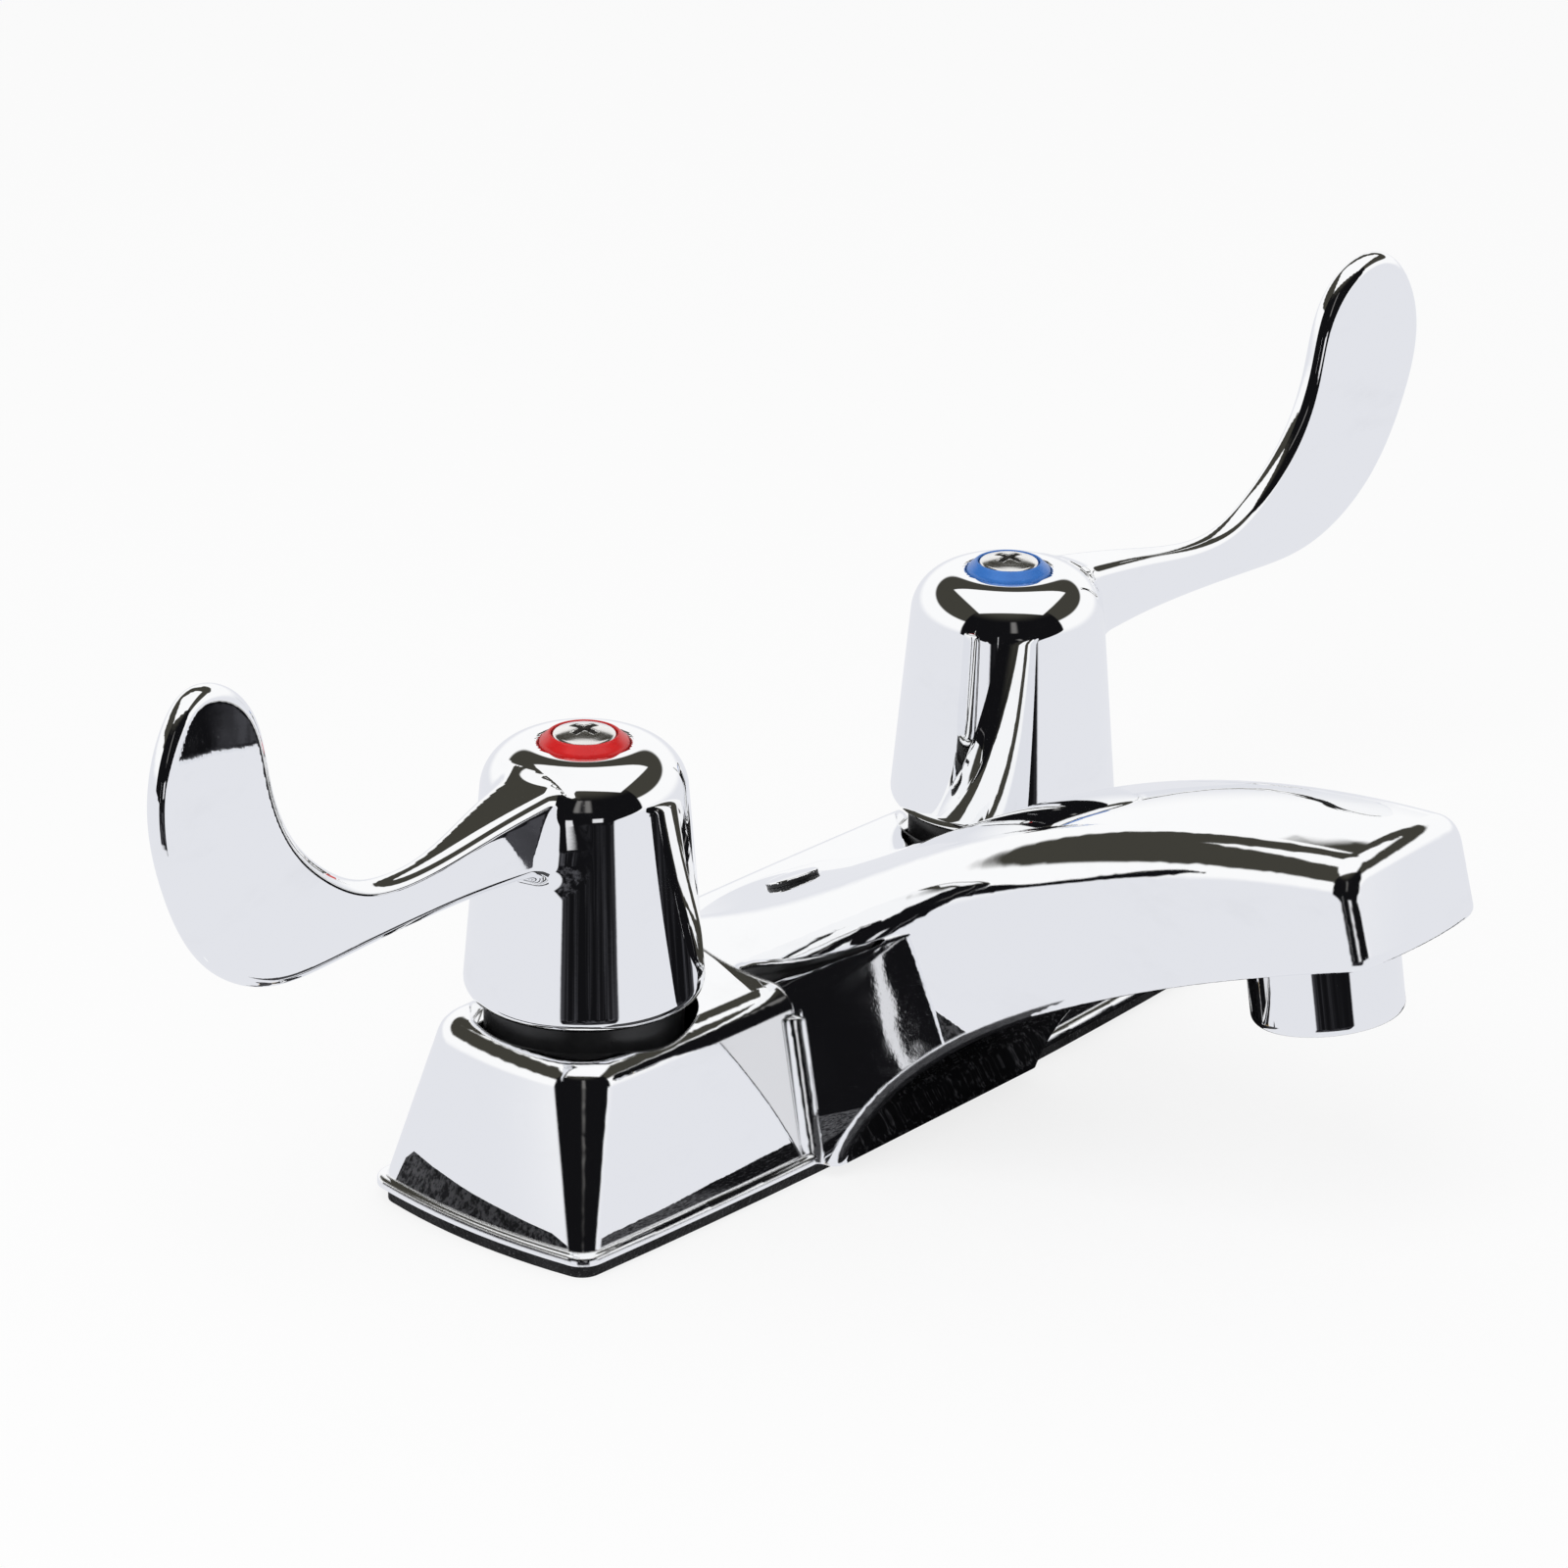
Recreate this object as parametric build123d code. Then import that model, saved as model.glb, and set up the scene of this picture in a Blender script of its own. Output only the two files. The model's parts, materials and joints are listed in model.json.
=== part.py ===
from build123d import *
import os
from math import atan2, cos, degrees, pi, radians, sin, tan

# Two-handle centerset faucet with wrist-blade handles.
# Millimetres, +Z up, spout towards -Y, hot side on -X, cold side on +X.
# The origin lies in the deck plane, midway between the two inlets.

# Deck block and gasket
inlet_spacing = 101.6
gasket_thickness = 2.6
gasket_inset = 0.4
gasket_width = 5.0
gasket_clearance = 0.5
block_half_length = 75.5
block_end_bow = 2.2
block_end_lean = 15.0
block_front_y = -22.8
block_front_bow = 2.4
block_front_lean = 12.0
block_back_y = 20.0
block_back_bow = 1.4
block_back_lean = 9.0
block_top_z = 29.8
block_foot_corner = 3.5
block_top_corner = 8.0
block_edge_radius = 4.2
block_wall = 3.2
block_roof = 4.0
lip_height = 1.4
lip_reach = 0.9
lip_edge_radius = 0.6

# Spout: crest line, arched section, curved underside and leaning nose
spout_root_y = 13.0
spout_root_sink = 0.2
crest_lift_y = -28.0
crest_lift_z = 43.0
crest_bend_y = -42.0
crest_bend_z = 72.0
spout_tip_y = -120.5
spout_tip_top_z = 74.9
spout_root_half = 28.6
spout_tip_half = 14.2
spout_side_draft = 2.0
spout_crown = 0.8
spout_root_shoulder = 14.0
spout_tip_shoulder = 5.5
spout_sections = 9
spout_wall = 3.0
underside_foot_y = -26.2
underside_rise_y = -29.5
underside_rise_z = 21.0
underside_bend_y = -62.0
underside_bend_z = 43.5
underside_tip_y = -127.5
underside_tip_z = 61.1
nose_y = -119.0
nose_z = 57.0
nose_lean = 16.0
nose_bow_radius = 60.0
nose_corner_radius = 3.4
nose_edge_radius = 1.8
valley_radius = 2.5

# Waterway in the casting
passage_root_y = -7.5
passage_floor_z = 9.0
passage_end_y = -110.0
cross_tube_y = -10.0
cross_tube_z = 15.0
cross_tube_bore = 4.0
cross_tube_wall = 2.4

# Valve barrels
recess_radius = 17.4
recess_depth = 4.0
chamber_radius = 11.2
barrel_wall = 3.4
barrel_bottom_z = 0.6
seat_z = 9.0
seat_thickness = 3.0
port_radius = 6.0

# Inlet shanks and the hardware under the deck
shank_radius = 10.4
shank_bore = 6.5
shank_length = 54.0
shank_chamfer = 1.0
coupling_length = 16.0
relief_width = 1.4
relief_depth = 0.7
deck_thickness = 19.0
washer_radius = 17.0
washer_thickness = 1.6
washer_clearance = 0.06
nut_flange_radius = 16.0
nut_flange_thickness = 2.4
nut_across_flats = 28.0
nut_height = 10.0
thread_clearance = 0.03

# Lift-rod hole plug
plug_y = 1.8
plug_radius = 4.3
plug_rim_height = 0.9
plug_dome_height = 0.9
plug_sink = 0.3
plug_hole_radius = 3.0
plug_stem_length = 7.0
plug_clearance = 0.1

# Valve cartridge
cartridge_clearance = 0.05
shell_cavity_radius = 8.9
shell_shoulder_z = 19.6
shell_cavity_top_z = 18.9
shell_neck_radius = 8.0
shell_top_z = 41.0
shell_window_width = 7.0
shell_window_height = 4.0
stop_rib_width = 3.0
seal_inner_radius = 6.3
seal_thickness = 1.6
disc_clearance = 0.1
disc_thickness = 2.6
disc_port_inner = 1.4
disc_port_outer = 6.0
disc_port_angle = 78.0
o_ring_section = 1.4
cartridge_ring_z = 14.0
stem_ring_z = 33.0
bonnet_hex_flats = 22.0
bonnet_hex_height = 7.0
sleeve_outer_radius = 15.3
sleeve_wall = 1.3
sleeve_top_z = 38.6
sleeve_top_thickness = 1.5

# Valve stem
stem_radius = 4.4
stem_clearance = 0.05
collar_radius = 6.4
collar_height = 2.8
lug_width = 4.0
lug_reach = 1.9
lug_clearance = 0.3
handle_turn = 90.0
stem_top_z = 64.0
spline_radius = 4.3
spline_teeth = 20
spline_depth = 0.45
spline_length = 14.0
clip_thickness = 0.8
clip_reach = 2.2
clip_groove_depth = 0.7
clip_gap_angle = 70.0
clip_lift = 0.05
screw_radius = 2.0
screw_length = 13.0
screw_clearance = 0.12

# Handle hub
hub_bottom_z = 32.8
hub_bottom_radius = 18.55
hub_bottom_edge = 2.6
hub_top_z = 73.0
hub_top_radius = 15.05
hub_shoulder_radius = 7.0
hub_wall = 2.2
hub_roof_z = 62.0
socket_radius = 7.4
socket_bottom_z = 51.0
socket_clearance = 0.05
socket_headroom = 0.5

# Wrist blade: its line seen from the front, as reach from the stem axis and height
blade_line = [
    (6.0, 56.9),
    (28.0, 58.9),
    (60.0, 58.4),
    (73.0, 59.4),
    (86.6, 67.4),
    (94.7, 81.2),
    (97.2, 93.8),
    (94.4, 103.4),
    (88.8, 108.4),
    (81.2, 107.2),
    (75.2, 101.0),
    (72.3, 90.5),
    (68.0, 80.7),
    (60.5, 73.0),
    (52.0, 68.4),
    (43.0, 67.6),
    (28.0, 69.4),
    (6.0, 71.6),
]
blade_front_y = -7.3
blade_thickness = 4.2
blade_edge_radius = 1.8
blade_neck_reach = 45.0
blade_plan_reach = 104.0
blade_forward = 6.3
blade_root_back_y = 5.0

# Index ring and handle screw
index_radius = 7.3
index_sink = 1.0
index_rim_height = 0.5
index_height = 1.9
index_cup_radius = 5.05
index_floor = 0.9
screw_head_radius = 4.9
screw_head_edge = 1.4
screw_head_crown = 0.8
screw_head_clearance = 0.05
cross_recess_length = 5.6
cross_recess_width = 1.1
cross_recess_depth = 1.5

# Aerator
aerator_y = -101.4
aerator_bottom_z = 42.2
aerator_lean = 10.0
aerator_radius = 11.4
aerator_edge_radius = 1.5
aerator_skirt_length = 13.0
aerator_neck_radius = 10.2
aerator_neck_length = 5.0
aerator_bore = 8.8
aerator_rim_bore = 7.6
aerator_rim_height = 1.2
aerator_socket_clearance = 0.08
aerator_socket_wall = 2.6
screen_thickness = 0.6
screen_hole_radius = 0.7
screen_pitch = 2.0
insert_clearance = 0.1
insert_height = 10.0
insert_wall = 1.2
insert_floor = 1.5
insert_hole_radius = 1.0
insert_hole_circle = 4.6
insert_holes = 10
aerator_washer_bore = 7.2
aerator_washer_thickness = 1.8

# How far a cut runs past the face that it opens
cut_margin = 1.0

# Places worked out from the sizes above
inlet_x = inlet_spacing / 2
body_bottom_z = gasket_thickness
roof_z = block_top_z - block_roof
recess_floor_z = block_top_z - recess_depth
barrel_radius = chamber_radius + barrel_wall
shank_top_z = seat_z - seat_thickness
disc_radius = shell_cavity_radius - disc_clearance
fixed_disc_z = seat_z + seal_thickness
moving_disc_z = fixed_disc_z + disc_thickness
collar_z = moving_disc_z + disc_thickness
guide_radius = stem_radius + stem_clearance
index_seat_z = hub_top_z - index_sink
screw_seat_z = index_seat_z + index_floor
nut_top_z = -deck_thickness - washer_thickness
aerator_place = Pos(0, aerator_y, aerator_bottom_z) * Rot(-aerator_lean, 0, 0)


def cylinder(radius, z_low, z_high, x=0.0, y=0.0):
    """Vertical cylinder between two heights."""
    return Pos(x, y, (z_low + z_high) / 2) * Cylinder(radius, z_high - z_low)


def ring(outer, inner, z_low, z_high):
    """Vertical ring on the Z axis between two heights."""
    return cylinder(outer, z_low, z_high) - cylinder(inner, z_low - cut_margin, z_high + cut_margin)


def box(x_range, y_range, z_range):
    """Box between two limits along each axis."""
    size = [high - low for low, high in (x_range, y_range, z_range)]
    middle = [(high + low) / 2 for low, high in (x_range, y_range, z_range)]
    return Pos(*middle) * Box(*size)


def hexagon(across_flats, z_low, z_high):
    """Hexagonal prism on the Z axis between two heights."""
    with BuildSketch(Plane.XY.offset(z_low)) as outline:
        RegularPolygon(across_flats / 2, 6, major_radius=False)
    return extrude(outline.sketch, z_high - z_low)


def o_ring(outer_radius, z):
    """Round-section seal on the Z axis, given by its outer radius."""
    return Pos(0, 0, z) * Torus(outer_radius - o_ring_section / 2, o_ring_section / 2)


def inlet_pair(piece):
    """The same piece on both inlet axes, the cold one mirrored."""
    hot = Pos(-inlet_x, 0, 0) * piece
    return hot + mirror(hot, Plane.YZ)


# Casting


def block_outline(z, inset=0.0):
    """Bowed plan outline of the deck block at a height, drawn in by an inset."""
    rise = z - body_bottom_z
    half = block_half_length - rise * tan(radians(block_end_lean)) - inset
    front = block_front_y + rise * tan(radians(block_front_lean)) + inset
    back = block_back_y - rise * tan(radians(block_back_lean)) - inset
    middle = (front + back) / 2
    share = rise / (block_top_z - body_bottom_z)
    corner = block_foot_corner + share * (block_top_corner - block_foot_corner) - inset / 2
    with BuildSketch(Plane.XY.offset(z)) as outline:
        with BuildLine():
            ThreePointArc((-half, front), (0, front - block_front_bow), (half, front))
            ThreePointArc((half, front), (half + block_end_bow, middle), (half, back))
            ThreePointArc((half, back), (0, back + block_back_bow), (-half, back))
            ThreePointArc((-half, back), (-half - block_end_bow, middle), (-half, front))
        make_face()
        fillet(outline.vertices(), corner)
    return outline.sketch


def deck_block():
    """Leaning walls, flat top with rounded edges, and the bead round the foot."""
    walls = loft([block_outline(body_bottom_z), block_outline(block_top_z)], ruled=True)
    walls = walls.fillet(block_edge_radius, walls.faces().sort_by(Axis.Z)[-1].edges())
    bead = extrude(block_outline(body_bottom_z, -lip_reach), lip_height)
    bead = bead.fillet(lip_edge_radius, bead.faces().sort_by(Axis.Z)[-1].edges())
    return walls + bead


def crest():
    """Line along the top of the spout, from the root to the tip."""
    return Bezier(
        (0, spout_root_y, block_top_z - spout_root_sink),
        (0, crest_lift_y, crest_lift_z),
        (0, crest_bend_y, crest_bend_z),
        (0, spout_tip_y, spout_tip_top_z),
    )


def crest_at(y):
    """Crest point and direction at a place along the spout, found by halving."""
    line = crest()
    low = 0.0
    high = 1.0
    for _ in range(40):
        middle = (low + high) / 2
        if (line @ middle).Y > y:
            low = middle
        else:
            high = middle
    return line @ low, line % low


def spout_half(y):
    """Half-width of the spout at its shoulder, at a place along it."""
    along = (spout_root_y - y) / (spout_root_y - spout_tip_y)
    return spout_root_half + along * (spout_tip_half - spout_root_half)


def spout_shoulder(y):
    """Rounding between the spout's top and side, at a place along it."""
    along = (spout_root_y - y) / (spout_root_y - spout_tip_y)
    return spout_tip_shoulder + (spout_root_shoulder - spout_tip_shoulder) * (1 - along**2) ** 2


def spout_section(share, inset=0.0):
    """Arched section across the spout, at a share of the way along the crest."""
    top = crest() @ share
    y = top.Y
    z_top = top.Z - inset
    half = spout_half(y) - inset
    shoulder = spout_shoulder(y) - inset / 2
    z_arc = z_top - spout_crown
    z_side = z_arc - shoulder
    z_low = body_bottom_z - 2 * spout_wall
    half_low = half + (z_side - z_low) * tan(radians(spout_side_draft))
    flat = half - shoulder
    knee = shoulder * (1 - cos(pi / 4))
    return Wire(
        [
            Line((-half_low, y, z_low), (-half, y, z_side)),
            ThreePointArc((-half, y, z_side), (-half + knee, y, z_arc - knee), (-flat, y, z_arc)),
            ThreePointArc((-flat, y, z_arc), (0, y, z_top), (flat, y, z_arc)),
            ThreePointArc((flat, y, z_arc), (half - knee, y, z_arc - knee), (half, y, z_side)),
            Line((half, y, z_side), (half_low, y, z_low)),
            Line((half_low, y, z_low), (-half_low, y, z_low)),
        ]
    )


def spout_bar(inset=0.0):
    """The spout's arched sections joined along the crest."""
    return Solid.make_loft([spout_section(i / (spout_sections - 1), inset) for i in range(spout_sections)])


def under_spout():
    """All the space below the curved underside."""
    z_low = body_bottom_z - 4 * spout_wall
    y_far = 2 * underside_tip_y
    with BuildSketch(Plane.YZ.offset(-inlet_x)) as outline:
        with BuildLine():
            Bezier(
                (underside_foot_y, z_low),
                (underside_rise_y, underside_rise_z),
                (underside_bend_y, underside_bend_z),
                (underside_tip_y, underside_tip_z),
            )
            Polyline(
                (underside_tip_y, underside_tip_z),
                (y_far, underside_tip_z),
                (y_far, z_low),
                (underside_foot_y, z_low),
            )
        make_face()
    return extrude(outline.sketch, inlet_spacing)


def before_nose():
    """All the space in front of the bowed, leaning nose."""
    bow = Pos(0, nose_bow_radius, 0) * Cylinder(nose_bow_radius, 3 * spout_tip_top_z)
    bow = Pos(0, nose_y, nose_z) * Rot(-nose_lean, 0, 0) * bow
    ahead = nose_bow_radius / 2
    return box((-inlet_x, inlet_x), (nose_y - ahead, nose_y + ahead), (0, 2 * spout_tip_top_z)) - bow


def spout_solid():
    """Spout cut to its underside and nose, with the nose's corners rounded."""
    reach = 3 * inlet_spacing
    spout = spout_bar() - under_spout() - before_nose()
    spout = spout & box((-reach, reach), (-reach, reach), (body_bottom_z, reach))
    corner_y = nose_y + 2 * nose_corner_radius
    around = [e for e in spout.edges() if e.center().Y < corner_y and e.center().Z > underside_tip_z]
    spout = spout.fillet(nose_corner_radius, around)
    below = [e for e in spout.edges() if e.center().Y < corner_y and e.center().Z < underside_tip_z]
    return spout.fillet(nose_edge_radius, below)


def waterway():
    """Hollow of the spout, from the cross tube to the space over the aerator."""
    reach = inlet_spacing
    hollow = spout_bar(spout_wall) & box(
        (-reach, reach), (passage_end_y, passage_root_y), (passage_floor_z, reach)
    )
    return hollow - Pos(0, spout_wall, spout_wall) * under_spout()


def valley_outline(z):
    """Plan of the hollow-rounded filling between the block's front and the spout's side."""
    rise = z - body_bottom_z
    front = block_front_y - block_front_bow + rise * tan(radians(block_front_lean))
    top, _ = crest_at(front)
    drop = top.Z - spout_crown - spout_shoulder(front) - z
    side = spout_half(front) + drop * tan(radians(spout_side_draft))
    taper = (spout_root_half - spout_tip_half) / (spout_root_y - spout_tip_y)
    front += block_front_bow * (side / block_half_length) ** 2
    outer = side + valley_radius
    low = front - valley_radius
    near = side - taper * valley_radius
    knee = valley_radius * (1 - cos(pi / 4))
    with BuildSketch(Plane.XY.offset(z)) as outline:
        with BuildLine():
            ThreePointArc((outer, front), (side + knee, front - knee), (near, low))
            Polyline((near, low), (near - block_wall, low), (near - block_wall, front + block_wall))
            Polyline((near - block_wall, front + block_wall), (outer, front + block_wall), (outer, front))
        make_face()
    return outline.sketch


def valley():
    """Filling of both corners where the spout leaves the block."""
    web = loft([valley_outline(body_bottom_z), valley_outline(block_top_z - block_edge_radius)], ruled=True)
    return web + mirror(web, Plane.YZ)


def plug_place():
    """Place of the plug: its axis stands square to the crest."""
    point, along = crest_at(plug_y)
    return Pos(0, point.Y, point.Z) * Rot(degrees(atan2(along.Z, along.Y)) - 180, 0, 0)


def spout_body():
    """Casting: deck block, hollow spout, two valve barrels and the tube between them."""
    skin = deck_block() + spout_solid() + valley()
    reach = inlet_spacing
    hollow = loft([block_outline(body_bottom_z, block_wall), block_outline(roof_z, block_wall)], ruled=True)
    hollow -= spout_bar() & box(
        (-reach, reach), (-reach, passage_root_y + spout_wall), (passage_floor_z - spout_wall, reach)
    )
    tube_length = inlet_spacing
    tube_place = Pos(0, cross_tube_y, cross_tube_z) * Rot(0, 90, 0)
    hollow -= tube_place * Cylinder(cross_tube_bore + cross_tube_wall, tube_length)
    hollow -= inlet_pair(cylinder(barrel_radius, body_bottom_z - cut_margin, block_top_z))
    body = skin - hollow + inlet_pair(cylinder(barrel_radius, barrel_bottom_z, roof_z))
    outlet_top = aerator_skirt_length + aerator_neck_length + aerator_washer_thickness
    outlet_boss = aerator_place * cylinder(
        aerator_radius + aerator_socket_wall, 0, outlet_top + aerator_socket_wall
    )
    body -= waterway() - outlet_boss
    body -= tube_place * Cylinder(cross_tube_bore, tube_length)
    bores = cylinder(recess_radius, recess_floor_z, 2 * block_top_z)
    bores += cylinder(chamber_radius, seat_z, recess_floor_z + cut_margin)
    bores += cylinder(port_radius, barrel_bottom_z - cut_margin, seat_z + cut_margin)
    bores += cylinder(shank_radius + thread_clearance, barrel_bottom_z - cut_margin, shank_top_z)
    body -= inlet_pair(bores)
    outlet = cylinder(aerator_radius + aerator_socket_clearance, -cut_margin, aerator_skirt_length)
    outlet += cylinder(aerator_neck_radius + thread_clearance, 0, outlet_top)
    outlet += cylinder(aerator_washer_bore, 0, outlet_top + aerator_socket_wall + spout_wall)
    body -= aerator_place * outlet
    plug_hole = cylinder(plug_hole_radius, -2 * plug_stem_length, block_roof)
    plug_hole += cylinder(plug_radius + plug_clearance, -plug_sink, block_roof)
    return body - plug_place() * plug_hole


def base_gasket():
    """Foam ring under the rim of the block."""
    gasket = extrude(block_outline(body_bottom_z, gasket_inset), -gasket_thickness)
    gasket -= extrude(block_outline(body_bottom_z, gasket_inset + gasket_width), -2 * gasket_thickness)
    return gasket - inlet_pair(cylinder(barrel_radius + gasket_clearance, 0, body_bottom_z))


def lift_rod_hole_plug():
    """Domed button with a short stem that closes the lift-rod hole."""
    dome_radius = (plug_radius**2 + plug_dome_height**2) / (2 * plug_dome_height)
    dome_top = plug_rim_height + plug_dome_height
    dome = Pos(0, 0, dome_top - dome_radius) * Sphere(dome_radius)
    button = cylinder(plug_radius, -plug_sink, dome_top) & dome
    shaft = cylinder(plug_hole_radius - plug_clearance, -plug_stem_length, 0)
    return plug_place() * (button + shaft)


# Inlet shanks and the hardware that holds the faucet to the deck


def inlet_shank():
    """Brass shank with a relief groove that sets off the coupling end."""
    shank = ring(shank_radius, shank_bore, -shank_length, shank_top_z)
    rim = shank.edges().group_by(Axis.Z)[0].sort_by(SortBy.LENGTH)[-1]
    shank = shank.chamfer(shank_chamfer, None, [rim])
    groove_z = coupling_length - shank_length
    return shank - ring(2 * shank_radius, shank_radius - relief_depth, groove_z, groove_z + relief_width)


def shank_washer():
    """Steel washer under the deck."""
    return ring(washer_radius, shank_radius + washer_clearance, nut_top_z, -deck_thickness)


def lock_nut():
    """Flanged hexagonal nut on the shank."""
    flange = cylinder(nut_flange_radius, nut_top_z - nut_flange_thickness, nut_top_z)
    nut = flange + hexagon(nut_across_flats, nut_top_z - nut_height, nut_top_z)
    bore_bottom_z = nut_top_z - nut_height - cut_margin
    return nut - cylinder(shank_radius + thread_clearance, bore_bottom_z, nut_top_z + cut_margin)


# Valve cartridge


def seat_seal():
    """Rubber ring between the seat and the fixed disc."""
    return ring(disc_radius, seal_inner_radius, seat_z, fixed_disc_z)


def ceramic_disc(z, turn):
    """Disc with two opposite ports, turned about the valve axis."""
    disc = cylinder(disc_radius, z, z + disc_thickness)
    for start in (turn, turn + 180):
        first = start - disc_port_angle / 2
        with BuildSketch(Plane.XY.offset(z)) as port:
            with BuildLine():
                CenterArc((0, 0), disc_port_outer, first, disc_port_angle)
                CenterArc((0, 0), disc_port_inner, first, disc_port_angle)
                Line(port_corner(disc_port_inner, first), port_corner(disc_port_outer, first))
                Line(
                    port_corner(disc_port_inner, first + disc_port_angle),
                    port_corner(disc_port_outer, first + disc_port_angle),
                )
            make_face()
        disc -= extrude(port.sketch, disc_thickness)
    return disc


def port_corner(radius, angle):
    """Point of a port's outline in polar coordinates."""
    return radius * cos(radians(angle)), radius * sin(radians(angle))


def cartridge_shell():
    """Brass shell: windowed foot, shoulder under the nut, neck round the stem, stop ribs."""
    outer = chamber_radius - cartridge_clearance
    shell = cylinder(outer, seat_z, shell_shoulder_z) + cylinder(shell_neck_radius, seat_z, shell_top_z)
    shell -= cylinder(shell_cavity_radius, seat_z - cut_margin, shell_cavity_top_z)
    shell -= cylinder(guide_radius, seat_z, shell_top_z + cut_margin)
    for turn in stop_rib_turns():
        rib = box(
            (0, shell_cavity_radius + cut_margin),
            (-stop_rib_width / 2, stop_rib_width / 2),
            (collar_z + lug_clearance, shell_cavity_top_z),
        )
        rib -= cylinder(collar_radius + lug_clearance, seat_z, shell_top_z)
        shell += Rot(0, 0, turn) * rib
    window_z = (moving_disc_z + collar_z + shell_window_height) / 2
    shell -= Pos(0, 0, window_z) * Box(shell_window_width, 4 * outer, shell_window_height)
    return shell - cartridge_ring_groove(outer)


def stop_rib_turns():
    """Angles of the two ribs that the lug meets when closed and when open."""
    rib_half = degrees(atan2(stop_rib_width / 2, collar_radius + lug_clearance))
    lug_half = degrees(atan2(lug_width / 2, collar_radius + lug_clearance))
    gap = rib_half + lug_half + degrees(lug_clearance / collar_radius)
    return -gap, handle_turn + gap


def cartridge_ring_groove(outer):
    """Groove for the seal round the shell."""
    half = o_ring_section / 2
    return Pos(0, 0, cartridge_ring_z) * Torus(outer - half, half + cartridge_clearance)


def bonnet_nut():
    """Hexagonal nut with a spigot that presses the cartridge down."""
    spigot = cylinder(chamber_radius - cartridge_clearance, shell_shoulder_z, recess_floor_z)
    nut = spigot + hexagon(bonnet_hex_flats, recess_floor_z, recess_floor_z + bonnet_hex_height)
    return nut - cylinder(shell_neck_radius + cartridge_clearance, seat_z, shell_top_z)


def bonnet_sleeve():
    """Black sleeve round the nut, closed on top round the cartridge's neck."""
    sleeve = ring(sleeve_outer_radius, sleeve_outer_radius - sleeve_wall, recess_floor_z, sleeve_top_z)
    top = cylinder(sleeve_outer_radius, sleeve_top_z - sleeve_top_thickness, sleeve_top_z)
    return sleeve + top - cylinder(shell_neck_radius + cartridge_clearance, seat_z, shell_top_z)


# Valve stem


def spline_prism(radius, depth, z_low, z_high):
    """Toothed prism between two heights."""
    points = []
    for i in range(2 * spline_teeth):
        reach = radius if i % 2 == 0 else radius - depth
        points.append(port_corner(reach, 180 * i / spline_teeth))
    with BuildSketch(Plane.XY.offset(z_low)) as outline:
        with BuildLine():
            Polyline(*points, close=True)
        make_face()
    return extrude(outline.sketch, z_high - z_low)


def stem():
    """Splined stem with its drive collar, stop lug, seal groove and clip groove."""
    spline_z = stem_top_z - spline_length
    body = cylinder(stem_radius, collar_z, spline_z)
    body += spline_prism(spline_radius, spline_depth, spline_z, stem_top_z)
    body += cylinder(collar_radius, collar_z, collar_z + collar_height)
    body += box(
        (0, collar_radius + lug_reach),
        (-lug_width / 2, lug_width / 2),
        (collar_z + lug_clearance, collar_z + collar_height),
    )
    half = o_ring_section / 2
    body -= Pos(0, 0, stem_ring_z) * Torus(guide_radius - half, half + stem_clearance)
    clip_z = shell_top_z + clip_lift
    body -= ring(2 * stem_radius, stem_radius - clip_groove_depth, clip_z, clip_z + clip_thickness)
    screw_end_z = screw_seat_z - screw_length - cut_margin
    return body - cylinder(screw_radius + thread_clearance, screw_end_z, stem_top_z + cut_margin)


def stem_clip():
    """Open spring clip in the stem's groove, above the cartridge."""
    clip_z = shell_top_z + clip_lift
    clip = ring(stem_radius + clip_reach, stem_radius - clip_groove_depth, clip_z, clip_z + clip_thickness)
    wedge = [(0, 0)]
    for side in (-1, 1):
        wedge.append(port_corner(4 * stem_radius, side * clip_gap_angle / 2))
    with BuildSketch(Plane.XY.offset(clip_z)) as gap:
        with BuildLine():
            Polyline(*wedge, close=True)
        make_face()
    return clip - extrude(gap.sketch, clip_thickness)


# Handle


def hub_radius(z):
    """Radius of the hub's straight taper at a height."""
    share = (z - hub_bottom_z) / (hub_top_z - hub_bottom_z)
    return hub_bottom_radius + share * (hub_top_radius - hub_bottom_radius)


def hub_solid():
    """Tapered hub with a rounded foot and shoulder, filled."""
    with BuildSketch(Plane.XZ) as outline:
        with BuildLine():
            Polyline(
                (0, hub_bottom_z),
                (hub_bottom_radius, hub_bottom_z),
                (hub_top_radius, hub_top_z),
                (0, hub_top_z),
                close=True,
            )
        make_face()
        fillet(outline.vertices().group_by(Axis.X)[-1], hub_bottom_edge)
        fillet(outline.vertices().group_by(Axis.Y)[-1].sort_by(Axis.X)[-1], hub_shoulder_radius)
    return revolve(outline.sketch, Axis.Z)


def blade_front():
    """Outline of the wrist blade seen from the front, pointing to -X."""
    points = [(-reach, z) for reach, z in blade_line]
    with BuildSketch(Plane.XZ) as outline:
        with BuildLine():
            Spline(*points)
            Line(points[-1], points[0])
        make_face()
    return extrude(outline.sketch, hub_bottom_radius, both=True)


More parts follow.
